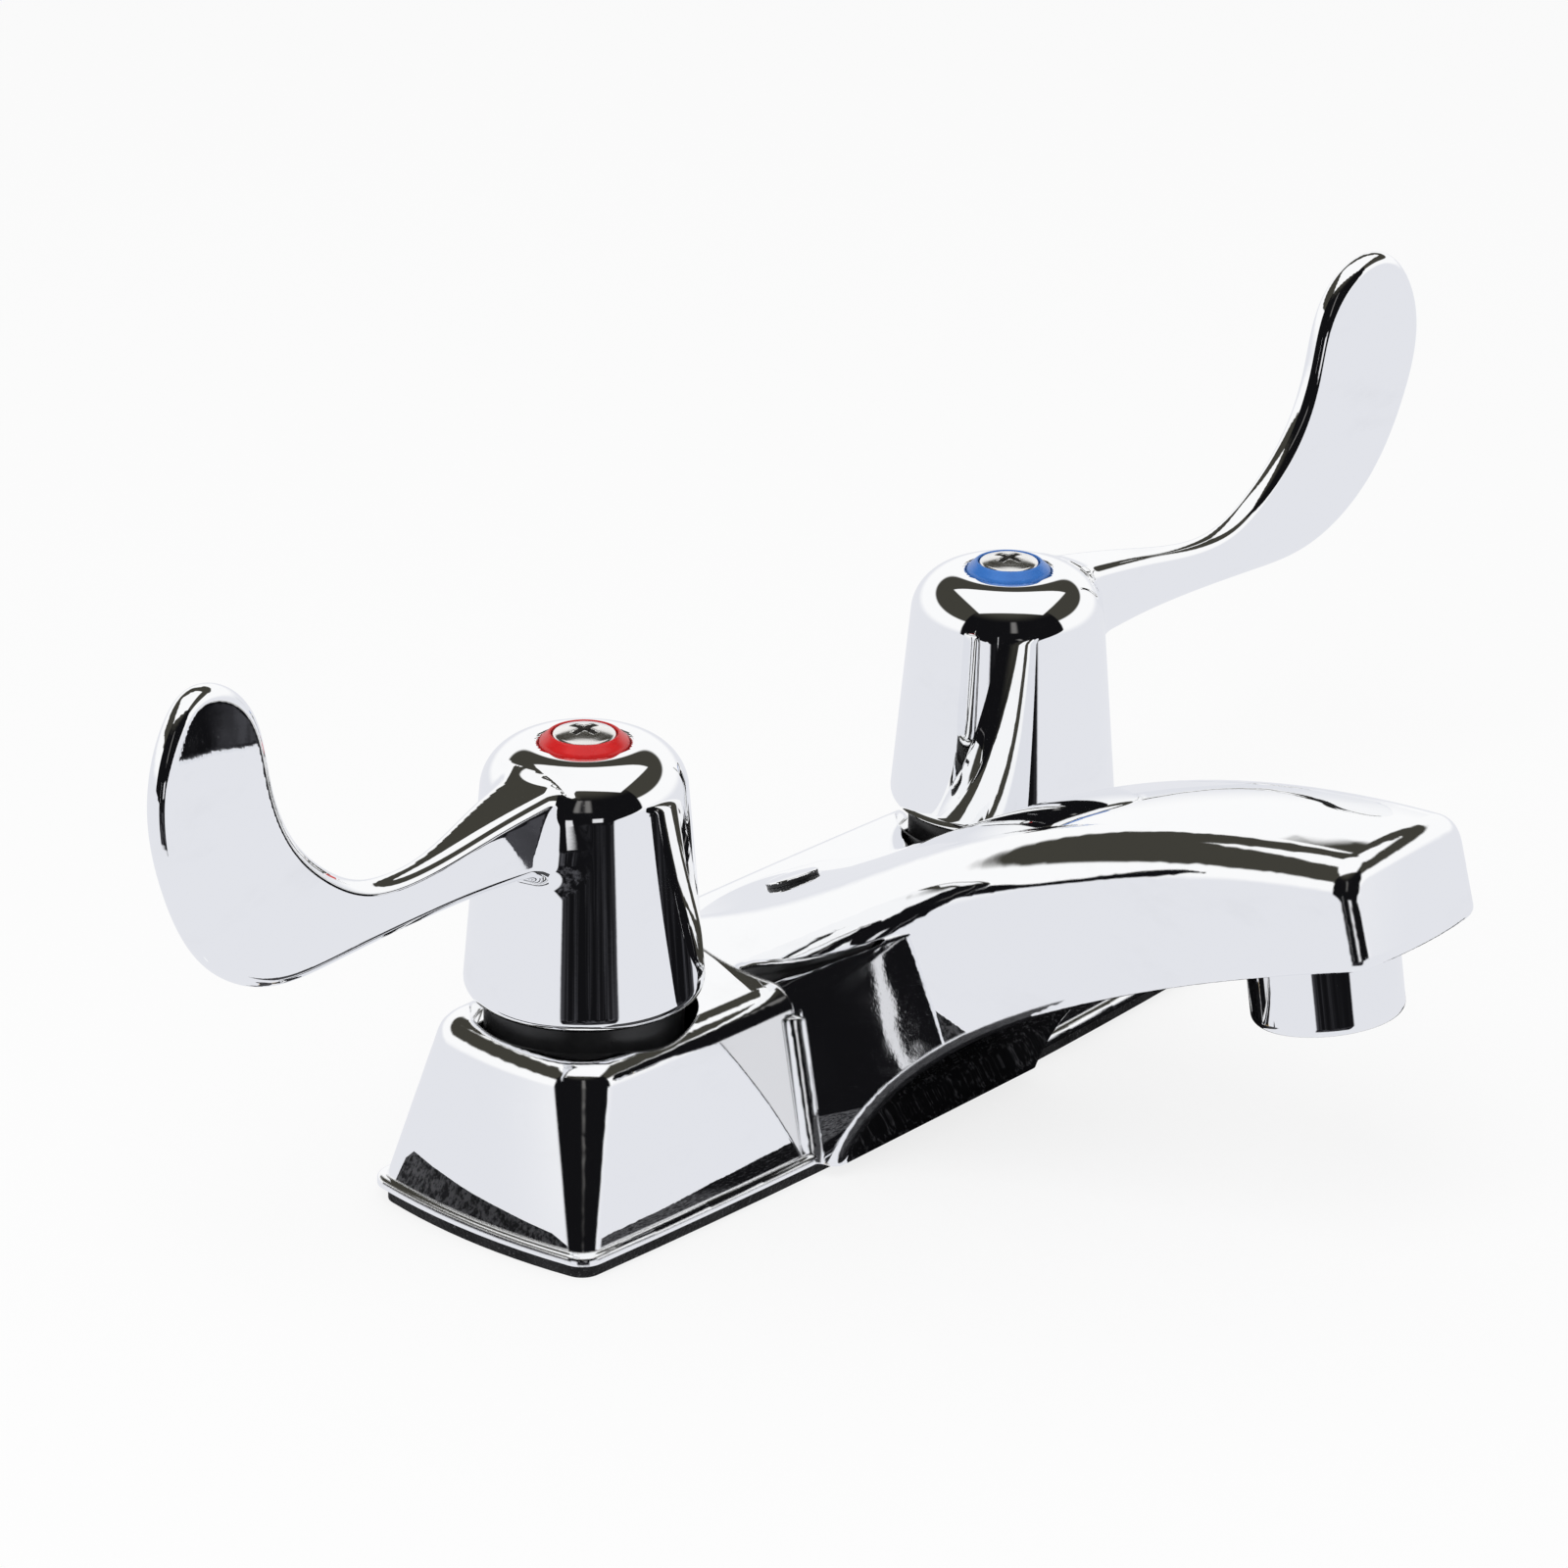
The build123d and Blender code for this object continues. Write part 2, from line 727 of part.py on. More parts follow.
def blade_above():
    """Outline of the wrist blade seen from above: thick at the root, curving forward at the tip."""
    middle = -(blade_neck_reach + blade_plan_reach) / 2
    flank = -(blade_neck_reach + hub_bottom_radius) / 2
    neck_back_y = blade_front_y + blade_thickness
    tip_front_y = blade_front_y - blade_forward
    tip_back_y = neck_back_y - blade_forward
    with BuildSketch(Plane.XY) as outline:
        with BuildLine():
            Polyline((0, blade_root_back_y), (0, blade_front_y), (-blade_neck_reach, blade_front_y))
            Bezier(
                (-blade_neck_reach, blade_front_y),
                (middle, blade_front_y),
                (-blade_plan_reach, tip_front_y),
            )
            Line((-blade_plan_reach, tip_front_y), (-blade_plan_reach, tip_back_y))
            Bezier(
                (-blade_plan_reach, tip_back_y),
                (middle, neck_back_y),
                (-blade_neck_reach, neck_back_y),
            )
            Bezier(
                (-blade_neck_reach, neck_back_y),
                (flank, neck_back_y),
                (-hub_bottom_radius, blade_root_back_y),
                (0, blade_root_back_y),
            )
        make_face()
    return extrude(outline.sketch, 2 * hub_top_z)


def blade_solid():
    """Wrist blade: its front outline cut by its outline from above, with rounded edges."""
    blade = blade_front() & blade_above()
    long_edges = [e for e in blade.edges() if e.length > 2 * blade_thickness]
    return blade.fillet(blade_edge_radius, [e for e in long_edges if e.center().X < -hub_bottom_radius])


def handle():
    """Hollow hub with its splined socket, screw hole and wrist blade."""
    body = hub_solid() + blade_solid()
    with BuildSketch(Plane.XZ) as outline:
        with BuildLine():
            Polyline(
                (0, hub_bottom_z - cut_margin),
                (hub_radius(hub_bottom_z - cut_margin) - hub_wall, hub_bottom_z - cut_margin),
                (hub_radius(hub_roof_z) - hub_wall, hub_roof_z),
                (0, hub_roof_z),
                close=True,
            )
        make_face()
    body -= revolve(outline.sketch, Axis.Z)
    body += cylinder(socket_radius, socket_bottom_z, hub_roof_z + cut_margin)
    socket_top = stem_top_z + socket_headroom
    body -= spline_prism(spline_radius + socket_clearance, spline_depth, socket_bottom_z - cut_margin, socket_top)
    body -= cylinder(screw_radius + screw_clearance, socket_bottom_z, hub_top_z + cut_margin)
    return body - cylinder(index_radius, index_seat_z, hub_top_z + cut_margin)


def index_ring():
    """Coloured ring with a cup for the screw head and a floor under it."""
    with BuildSketch(Plane.XZ) as outline:
        with BuildLine():
            Polyline(
                (screw_radius + screw_clearance, index_seat_z),
                (index_radius, index_seat_z),
                (index_radius, hub_top_z + index_rim_height),
                (index_cup_radius + index_rim_height, hub_top_z + index_height),
                (index_cup_radius, hub_top_z + index_height),
                (index_cup_radius, screw_seat_z),
                (screw_radius + screw_clearance, screw_seat_z),
                close=True,
            )
        make_face()
    return revolve(outline.sketch, Axis.Z)


def handle_screw():
    """Oval-head screw with a cross recess."""
    head_top = hub_top_z + index_height + screw_head_edge
    head = cylinder(screw_head_radius, screw_seat_z, head_top)
    head = head.fillet(screw_head_edge, head.faces().sort_by(Axis.Z)[-1].edges())
    for turn in (0, 90):
        slot = Box(cross_recess_length, cross_recess_width, 2 * cross_recess_depth)
        head -= Pos(0, 0, head_top) * Rot(0, 0, turn) * slot
    return head + cylinder(screw_radius, screw_seat_z - screw_length, screw_seat_z)


# Aerator, built upright and then leaned into place


def aerator_housing():
    """Round-edged housing with a threaded neck and an inward rim."""
    skirt = cylinder(aerator_radius, 0, aerator_skirt_length)
    skirt = skirt.fillet(aerator_edge_radius, skirt.faces().sort_by(Axis.Z)[0].edges())
    neck_top = aerator_skirt_length + aerator_neck_length
    housing = skirt + cylinder(aerator_neck_radius, aerator_edge_radius, neck_top)
    housing -= cylinder(aerator_rim_bore, -cut_margin, neck_top)
    return aerator_place * (housing - cylinder(aerator_bore, aerator_rim_height, neck_top + cut_margin))


def aerator_screen():
    """Disc with a hexagonal pattern of holes, resting on the rim."""
    radius = aerator_bore - insert_clearance
    screen = cylinder(radius, aerator_rim_height, aerator_rim_height + screen_thickness)
    rows = int(aerator_rim_bore / screen_pitch)
    holes = []
    for row in range(-rows, rows + 1):
        for column in range(-rows, rows + 1):
            x = screen_pitch * (column + 0.5 * (row % 2))
            y = screen_pitch * row * sin(radians(60))
            if x**2 + y**2 < (aerator_rim_bore - screen_hole_radius - screen_thickness) ** 2:
                holes.append(cylinder(screen_hole_radius, 0, 2 * screen_pitch, x, y))
    return aerator_place * (screen - holes)


def aerator_insert():
    """Cup with a ring of jet holes, above the screen."""
    radius = aerator_bore - insert_clearance
    low = aerator_rim_height + screen_thickness
    high = low + insert_height
    insert = cylinder(radius, low, high) - cylinder(radius - insert_wall, low - cut_margin, high - insert_floor)
    holes = [
        cylinder(insert_hole_radius, low, high + cut_margin, *port_corner(insert_hole_circle, 360 * i / insert_holes))
        for i in range(insert_holes)
    ]
    return aerator_place * (insert - holes)


def aerator_washer():
    """Rubber washer on top of the housing's neck."""
    low = aerator_skirt_length + aerator_neck_length
    return aerator_place * ring(aerator_neck_radius, aerator_washer_bore, low, low + aerator_washer_thickness)


# Assembly


def valve_pieces():
    """Pieces of one valve and handle about the valve's own axis, blade towards -X."""
    return {
        "inlet_shank": inlet_shank(),
        "shank_washer": shank_washer(),
        "lock_nut": lock_nut(),
        "seat_seal": seat_seal(),
        "fixed_disc": ceramic_disc(fixed_disc_z, 0),
        "cartridge_shell": cartridge_shell(),
        "cartridge_o_ring": o_ring(chamber_radius - cartridge_clearance, cartridge_ring_z),
        "bonnet_nut": bonnet_nut(),
        "bonnet_sleeve": bonnet_sleeve(),
        "handle": handle(),
        "index_ring": index_ring(),
        "handle_screw": handle_screw(),
        "stem": stem(),
        "moving_disc": ceramic_disc(moving_disc_z, handle_turn),
        "stem_o_ring": o_ring(guide_radius - stem_clearance / 2, stem_ring_z),
        "stem_clip": stem_clip(),
    }


def all_pieces():
    """Every piece by its node name."""
    pieces = {
        "spout_body": spout_body(),
        "base_gasket": base_gasket(),
        "lift_rod_hole_plug": lift_rod_hole_plug(),
        "aerator_housing": aerator_housing(),
        "aerator_insert": aerator_insert(),
        "aerator_screen": aerator_screen(),
        "aerator_washer": aerator_washer(),
    }
    for name, piece in valve_pieces().items():
        pieces["hot_" + name] = Pos(-inlet_x, 0, 0) * piece
        pieces["cold_" + name] = mirror(Pos(-inlet_x, 0, 0) * piece, Plane.YZ)
    return pieces


os.makedirs("parts", exist_ok=True)
for node, solid in all_pieces().items():
    solid.label = node
    export_step(solid, "parts/" + node + ".step")
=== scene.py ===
import json
import math

import bpy
import numpy as np
import openvdb
from mathutils import Matrix, Vector


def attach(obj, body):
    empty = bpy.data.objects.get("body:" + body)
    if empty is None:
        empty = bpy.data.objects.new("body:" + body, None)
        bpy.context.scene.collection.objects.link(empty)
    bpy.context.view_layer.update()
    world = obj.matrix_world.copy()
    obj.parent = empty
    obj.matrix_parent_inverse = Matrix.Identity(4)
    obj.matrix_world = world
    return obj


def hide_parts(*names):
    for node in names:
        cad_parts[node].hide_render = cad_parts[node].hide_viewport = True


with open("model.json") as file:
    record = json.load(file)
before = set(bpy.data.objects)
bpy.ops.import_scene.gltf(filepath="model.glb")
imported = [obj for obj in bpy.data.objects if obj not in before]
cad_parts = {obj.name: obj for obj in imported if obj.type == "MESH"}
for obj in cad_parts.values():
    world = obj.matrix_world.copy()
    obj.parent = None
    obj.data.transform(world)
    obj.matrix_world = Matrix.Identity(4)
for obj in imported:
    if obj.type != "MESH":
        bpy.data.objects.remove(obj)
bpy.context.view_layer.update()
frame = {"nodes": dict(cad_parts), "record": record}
nodes = frame["nodes"]


scene = bpy.context.scene

# Camera of the photograph
camera_azimuth = math.radians(-49.765)
camera_elevation = math.radians(22.208)
camera_roll = math.radians(0.833)
camera_distance = 0.890714
camera_target = Vector((-0.004615, 0.0, 0.052175))
camera_focal_px = 5823.81
picture_px = 1600

back = Vector(
    (
        math.sin(camera_azimuth) * math.cos(camera_elevation),
        -math.cos(camera_azimuth) * math.cos(camera_elevation),
        math.sin(camera_elevation),
    )
)
side = Vector((math.cos(camera_azimuth), math.sin(camera_azimuth), 0.0))
front = Vector((math.sin(camera_azimuth), -math.cos(camera_azimuth), 0.0))


def add_camera():
    above = back.cross(side)
    right = math.cos(camera_roll) * side + math.sin(camera_roll) * above
    up = math.cos(camera_roll) * above - math.sin(camera_roll) * side
    data = bpy.data.cameras.new("camera")
    data.sensor_width = 36.0
    data.lens = camera_focal_px * data.sensor_width / picture_px
    data.clip_start = 0.01
    data.clip_end = 50.0
    camera = bpy.data.objects.new("camera", data)
    place = Matrix((right, up, back)).transposed().to_4x4()
    place.translation = camera_target + back * camera_distance
    camera.matrix_world = place
    scene.collection.objects.link(camera)
    scene.camera = camera


add_camera()


# Node helpers
class Nodes:
    """Short calls for a node tree."""

    def __init__(self, tree):
        self.tree = tree
        tree.nodes.clear()

    def add(self, kind, **settings):
        node = self.tree.nodes.new(kind)
        for name, value in settings.items():
            setattr(node, name, value)
        return node

    def link(self, source, target):
        self.tree.links.new(source, target)

    def put(self, socket, value):
        if hasattr(value, "is_output"):
            self.link(value, socket)
        else:
            socket.default_value = value

    def math(self, operation, first, second=0.0):
        node = self.add("ShaderNodeMath", operation=operation)
        for socket, value in zip(node.inputs, (first, second)):
            self.put(socket, value)
        return node.outputs[0]

    def dot(self, vector, constant):
        node = self.add("ShaderNodeVectorMath", operation="DOT_PRODUCT")
        self.link(vector, node.inputs[0])
        node.inputs[1].default_value = tuple(constant)
        return node.outputs["Value"]

    def ramp(self, value, low, high, to_low=0.0, to_high=1.0):
        """Smooth step from to_low at low to to_high at high."""
        node = self.add("ShaderNodeMapRange", interpolation_type="SMOOTHSTEP", clamp=True)
        self.link(value, node.inputs["Value"])
        names = ("From Min", "From Max", "To Min", "To Max")
        for name, number in zip(names, (low, high, to_low, to_high)):
            node.inputs[name].default_value = number
        return node.outputs["Result"]

    def mix(self, factor, first, second):
        node = self.add("ShaderNodeMix", data_type="RGBA")
        self.put(node.inputs["Factor"], factor)
        self.put(node.inputs["A"], first)
        self.put(node.inputs["B"], second)
        return node.outputs["Result"]

    def noise(self, vector, scale, detail=2.0, roughness=0.5, stretch=(1.0, 1.0, 1.0)):
        mapping = self.add("ShaderNodeMapping")
        mapping.inputs["Scale"].default_value = stretch
        self.link(vector, mapping.inputs["Vector"])
        node = self.add("ShaderNodeTexNoise")
        self.link(mapping.outputs[0], node.inputs["Vector"])
        node.inputs["Scale"].default_value = scale
        node.inputs["Detail"].default_value = detail
        node.inputs["Roughness"].default_value = roughness
        return node.outputs["Fac"]

    def bump(self, height, distance, strength=1.0, normal=None):
        node = self.add("ShaderNodeBump")
        node.inputs["Strength"].default_value = strength
        node.inputs["Distance"].default_value = distance
        self.link(height, node.inputs["Height"])
        if normal is not None:
            self.link(normal, node.inputs["Normal"])
        return node.outputs["Normal"]


# Studio: what the metal sees, and the even light that everything else gets
white = (1.0, 1.0, 1.0, 1.0)


def add_world():
    world = bpy.data.worlds.new("studio")
    world.use_nodes = True
    scene.world = world
    n = Nodes(world.node_tree)
    ray = n.add("ShaderNodeTexCoord").outputs["Generated"]
    up = n.dot(ray, (0, 0, 1))
    elevation = n.math("ARCSINE", up)
    aside = n.dot(ray, side)
    ahead = n.dot(ray, front)
    turn = n.math("ARCTAN2", aside, ahead)

    table = (0.80, 0.81, 0.85, 1.0)
    black = (0.006, 0.006, 0.007, 1.0)
    olive = (0.052, 0.050, 0.041, 1.0)

    # Pale table below, white backdrop, ceiling above it
    colour = n.mix(n.ramp(elevation, math.radians(-3), math.radians(9)), table, white)
    colour = n.mix(n.ramp(elevation, math.radians(26), math.radians(29)), colour, olive)
    # Dark side of the room, where the camera stands; it is wider above the table's edge
    left_low, left_high = math.radians(-20), math.radians(-58)
    right_low, right_high = math.radians(34), math.radians(68)
    left_edge = n.ramp(elevation, math.radians(-12), math.radians(-1), left_low, left_high)
    right_edge = n.ramp(elevation, math.radians(-9), math.radians(8), right_low, right_high)
    soft = math.radians(1.2)
    inside = n.math(
        "MULTIPLY",
        n.ramp(n.math("SUBTRACT", turn, left_edge), -soft, soft),
        n.ramp(n.math("SUBTRACT", right_edge, turn), -soft, soft),
    )
    band = n.math(
        "MULTIPLY",
        n.ramp(elevation, math.radians(-40), math.radians(-36)),
        n.ramp(elevation, math.radians(40), math.radians(62), 1.0, 0.0),
    )
    mottle = n.ramp(n.noise(ray, 9.0, 5.0, 0.65), 0.42, 0.68)
    low_down = n.ramp(elevation, math.radians(-20), math.radians(-8), 1.0, 0.0)
    mottled = (0.085, 0.085, 0.095, 1.0)
    dark = n.mix(n.math("MULTIPLY", mottle, low_down), black, mottled)
    colour = n.mix(n.math("MULTIPLY", inside, band), colour, dark)

    def patch(turns, heights, strength, edge):
        """Soft-edged bright patch between two turns and two heights, in degrees."""
        shares = []
        for value, (low, high) in ((turn, turns), (elevation, heights)):
            shares.append(n.ramp(value, math.radians(low - edge), math.radians(low + edge)))
            end = math.radians(high - edge), math.radians(high + edge)
            shares.append(n.ramp(value, *end, 1.0, 0.0))
        across = n.math("MULTIPLY", shares[0], shares[1])
        upright = n.math("MULTIPLY", shares[2], shares[3])
        return n.math("MULTIPLY", n.math("MULTIPLY", across, upright), strength)

    # Three lit things that stand in the dark side
    colour = n.mix(patch((11, 22), (-8, 1), 0.9, 1.0), colour, (0.84, 0.84, 0.86, 1.0))
    colour = n.mix(patch((3, 10), (16, 42), 0.5, 2.5), colour, (0.34, 0.33, 0.32, 1.0))
    colour = n.mix(patch((-12.25, -11.6), (-11, 5), 0.92, 0.15), colour, (0.80, 0.80, 0.82, 1.0))
    # Softbox overhead, in coordinates on a flat ceiling
    safe_up = n.math("MAXIMUM", up, 0.05)
    flat_side = n.math("DIVIDE", aside, safe_up)
    flat_ahead = n.math("DIVIDE", ahead, safe_up)
    left = n.ramp(flat_side, -0.62, -0.58)
    right = n.ramp(flat_side, 0.72, 0.76, 1.0, 0.0)
    far = n.ramp(flat_ahead, -0.82, -0.78)
    near = n.ramp(flat_ahead, 0.46, 0.50, 1.0, 0.0)
    box = n.math("MULTIPLY", n.math("MULTIPLY", left, right), n.math("MULTIPLY", far, near))
    colour = n.mix(box, colour, white)

    path = n.add("ShaderNodeLightPath")
    glossy = n.add("ShaderNodeBackground")
    n.link(colour, glossy.inputs["Color"])
    even = n.add("ShaderNodeBackground")
    even.inputs["Color"].default_value = white
    even.inputs["Strength"].default_value = 0.72
    plain = n.add("ShaderNodeBackground")
    plain.inputs["Color"].default_value = white
    light = n.add("ShaderNodeMixShader")
    n.link(path.outputs["Is Glossy Ray"], light.inputs[0])
    n.link(even.outputs[0], light.inputs[1])
    n.link(glossy.outputs[0], light.inputs[2])
    seen = n.add("ShaderNodeMixShader")
    n.link(path.outputs["Is Camera Ray"], seen.inputs[0])
    n.link(light.outputs[0], seen.inputs[1])
    n.link(plain.outputs[0], seen.inputs[2])
    n.link(seen.outputs[0], n.add("ShaderNodeOutputWorld").inputs["Surface"])


add_world()


def add_lamp():
    """Soft lamp above the camera's left, which reflections don't show."""
    data = bpy.data.lights.new("key_lamp", "AREA")
    data.shape = "DISK"
    data.size = 0.9
    data.energy = 9.0
    place, target = Vector((-0.9, -0.5, 1.3)), Vector((0, 0, 0.03))
    lamp = bpy.data.objects.new("key_lamp", data)
    lamp.matrix_world = (place - target).to_track_quat("Z", "Y").to_matrix().to_4x4()
    lamp.matrix_world.translation = place
    lamp.visible_glossy = False
    scene.collection.objects.link(lamp)


add_lamp()


def plain_mesh(name, places, faces):
    mesh = bpy.data.meshes.new(name)
    mesh.from_pydata(places, [], faces)
    piece = bpy.data.objects.new(name, mesh)
    scene.collection.objects.link(piece)
    return piece


def shadow_white():
    """White that keeps a soft shadow."""
    material = bpy.data.materials.new("floor_white")
    material.use_nodes = True
    n = Nodes(material.node_tree)
    path = n.add("ShaderNodeLightPath")
    matt = n.add("ShaderNodeBsdfDiffuse")
    matt.inputs["Color"].default_value = (0.93, 0.93, 0.93, 1.0)
    glow = n.add("ShaderNodeEmission")
    glow.inputs["Color"].default_value = white
    mixed = n.add("ShaderNodeMixShader")
    n.link(n.math("MULTIPLY", path.outputs["Is Camera Ray"], 0.8), mixed.inputs[0])
    n.link(matt.outputs[0], mixed.inputs[1])
    n.link(glow.outputs[0], mixed.inputs[2])
    n.link(mixed.outputs[0], n.add("ShaderNodeOutputMaterial").inputs["Surface"])
    return material


def painted_reflection_material():
    """Speckled dark sheet that only paints dark reflections into the metal, greyer beside the hot
    end of the block than under the spout.
    """
    material = bpy.data.materials.new("painted_reflection_material")
    material.use_nodes = True
    n = Nodes(material.node_tree)
    place = n.add("ShaderNodeTexCoord").outputs["Object"]
    speck = n.noise(place, 900.0, 2.0, 0.8)
    matt = n.add("ShaderNodeBsdfDiffuse")
    deep = n.mix(n.ramp(speck, 0.5, 0.75), (0.008, 0.008, 0.009, 1), (0.07, 0.07, 0.075, 1))
    low_grey, high_grey = (0.022, 0.022, 0.024, 1), (0.125, 0.125, 0.132, 1)
    grey = n.mix(n.ramp(speck, 0.38, 0.62), low_grey, high_grey)
    beside = n.ramp(n.dot(place, (1, 0, 0)), -0.030, -0.022, 1.0, 0.0)
    n.link(n.mix(beside, deep, grey), matt.inputs["Color"])
    n.link(matt.outputs[0], n.add("ShaderNodeOutputMaterial").inputs["Surface"])
    return material


def add_floor():
    """Pale deck that the gasket rests on, and dark sheets and a card that only the metal sees,
    which paint dark reflections into it.
    """
    floor_level = -0.00005
    reach = 6.0
    square = ((-reach, -reach), (reach, -reach), (reach, reach), (-reach, reach))
    floor = plain_mesh("floor", [(x, y, floor_level) for x, y in square], [(0, 1, 2, 3)])
    floor.data.materials.append(shadow_white())
    floor.visible_glossy = False
    level = -0.00004
    # Outlines on the deck, as x and y, and the upright card beside the hot end, as y and z
    sheets = (
        [
            (-0.020, -0.058), (0.020, -0.058), (0.035, -0.085),
            (0.098, -0.105), (0.098, 0.018), (-0.020, 0.018),
        ],
        [
            (-0.070, -0.0312), (-0.070, -0.050), (-0.044, -0.057),
            (-0.020, -0.058), (-0.020, -0.0312),
        ],
        [(-0.072, -0.020), (-0.020, -0.020), (-0.020, 0.018), (-0.072, 0.018)],
        [(-0.090, -0.0205), (-0.0845, -0.0205), (-0.0845, 0.031), (-0.090, 0.031)],
    )
    card_x = -0.086
    card = (
        (-0.0205, level), (0.031, level), (0.031, 0.0062),
        (0.029, 0.0078), (-0.012, 0.0060), (-0.0205, 0.0030),
    )
    places, faces = [], []
    for sheet in sheets:
        faces.append(tuple(range(len(places), len(places) + len(sheet))))
        places += [(x, y, level) for x, y in sheet]
    faces.append(tuple(range(len(places), len(places) + len(card))))
    places += [(card_x, y, z) for y, z in card]
    # Sheets and card are hidden from the camera, diffuse light and shadows: painted dark
    # reflections in the chrome.
    painted_reflection_sheets = plain_mesh("painted_reflection_sheets", places, faces)
    painted_reflection_sheets.data.materials.append(painted_reflection_material())
    painted_reflection_sheets.visible_camera = False
    painted_reflection_sheets.visible_diffuse = False
    painted_reflection_sheets.visible_shadow = False
    painted_reflection_sheets.visible_transmission = False


add_floor()


# Materials
def new_material(name):
    material = bpy.data.materials.new(name)
    material.use_nodes = True
    n = Nodes(material.node_tree)
    shader = n.add("ShaderNodeBsdfPrincipled")
    n.link(shader.outputs[0], n.add("ShaderNodeOutputMaterial").inputs["Surface"])
    place = n.add("ShaderNodeTexCoord").outputs["Object"]
    return material, n, shader, place


def chrome(name, tint, soft_edge=0.0006):
    """Polished plating: a mirror with faint waves, wiped smears and tiny specks."""
    material, n, shader, place = new_material(name)
    shader.inputs["Metallic"].default_value = 1.0
    smear = n.noise(place, 42.0, 4.0, 0.6, (1.0, 1.0, 2.4))
    speck = n.noise(place, 2600.0, 2.0, 0.7)
    rough = n.ramp(smear, 0.50, 0.78, 0.012, 0.060)
    rough = n.math("ADD", rough, n.ramp(speck, 0.66, 0.78, 0.0, 0.09))
    n.link(rough, shader.inputs["Roughness"])
    shade = tuple(0.95 * value for value in tint[:3]) + (1.0,)
    n.link(n.mix(n.ramp(smear, 0.55, 0.85), tint, shade), shader.inputs["Base Color"])
    wave = n.noise(place, 55.0, 1.5, 0.4)
    fine = n.noise(place, 900.0, 2.0, 0.6)
    smooth = None
    if soft_edge:
        edge = n.add("ShaderNodeBevel", samples=6)
        edge.inputs["Radius"].default_value = soft_edge
        smooth = edge.outputs[0]
    normal = n.bump(wave, 0.00018, 0.35, smooth)
    n.link(n.bump(fine, 0.000004, 0.25, normal), shader.inputs["Normal"])
    return material


def plastic(name, colour, shade, rough):
    """Moulded plastic: soft sheen, faint orange peel and dust in the grain."""
    material, n, shader, place = new_material(name)
    mottle = n.noise(place, 260.0, 4.0, 0.6)
    n.link(n.mix(n.ramp(mottle, 0.3, 0.7), colour, shade), shader.inputs["Base Color"])
    sheen = n.ramp(n.noise(place, 90.0, 3.0), 0.3, 0.7, rough * 0.8, rough * 1.25)
    n.link(sheen, shader.inputs["Roughness"])
    n.link(n.bump(n.noise(place, 1500.0, 3.0, 0.55), 0.00003, 0.3), shader.inputs["Normal"])
    shader.inputs["IOR"].default_value = 1.47
    return material


def foam():
    """Closed-cell black foam: pits of several sizes and pale specks."""
    material, n, shader, place = new_material("gasket_foam_cells")
    cells = n.add("ShaderNodeTexVoronoi", feature="F1")
    cells.inputs["Scale"].default_value = 1500.0
    n.link(place, cells.inputs["Vector"])
    speck = n.noise(place, 1900.0, 2.0, 0.8)
    patch = n.noise(place, 160.0, 3.0, 0.6)
    dark = n.mix(n.ramp(patch, 0.3, 0.7), (0.012, 0.012, 0.013, 1), (0.030, 0.030, 0.032, 1))
    colour = n.mix(n.ramp(speck, 0.60, 0.72), dark, (0.11, 0.11, 0.115, 1))
    n.link(colour, shader.inputs["Base Color"])
    shader.inputs["Roughness"].default_value = 0.85
    shader.inputs["Specular IOR Level"].default_value = 0.3
    n.link(n.bump(cells.outputs["Distance"], 0.0004, 0.8), shader.inputs["Normal"])
    return material


def metal(name, tint, shade, rough):
    """Machined metal: fine turned lines, a mottled tone and light wear."""
    material, n, shader, place = new_material(name)
    shader.inputs["Metallic"].default_value = 1.0
    mottle = n.noise(place, 120.0, 4.0, 0.6)
    n.link(n.mix(n.ramp(mottle, 0.25, 0.75), tint, shade), shader.inputs["Base Color"])
    lines = n.noise(place, 60.0, 3.0, 0.6, (1.0, 1.0, 60.0))
    n.link(n.ramp(lines, 0.3, 0.7, rough * 0.75, rough * 1.3), shader.inputs["Roughness"])
    n.link(n.bump(lines, 0.00002, 0.6), shader.inputs["Normal"])
    return material


def dull(name, colour, shade, rough, pits=900.0):
    """Rubber or ceramic: matt, faintly speckled and fine-grained."""
    material, n, shader, place = new_material(name)
    speck = n.noise(place, pits, 3.0, 0.65)
    n.link(n.mix(n.ramp(speck, 0.35, 0.7), colour, shade), shader.inputs["Base Color"])
    sheen = n.ramp(n.noise(place, 200.0, 2.0), 0.3, 0.7, rough * 0.85, min(1.0, rough * 1.15))
    n.link(sheen, shader.inputs["Roughness"])
    n.link(n.bump(speck, 0.00004, 0.4), shader.inputs["Normal"])
    return material


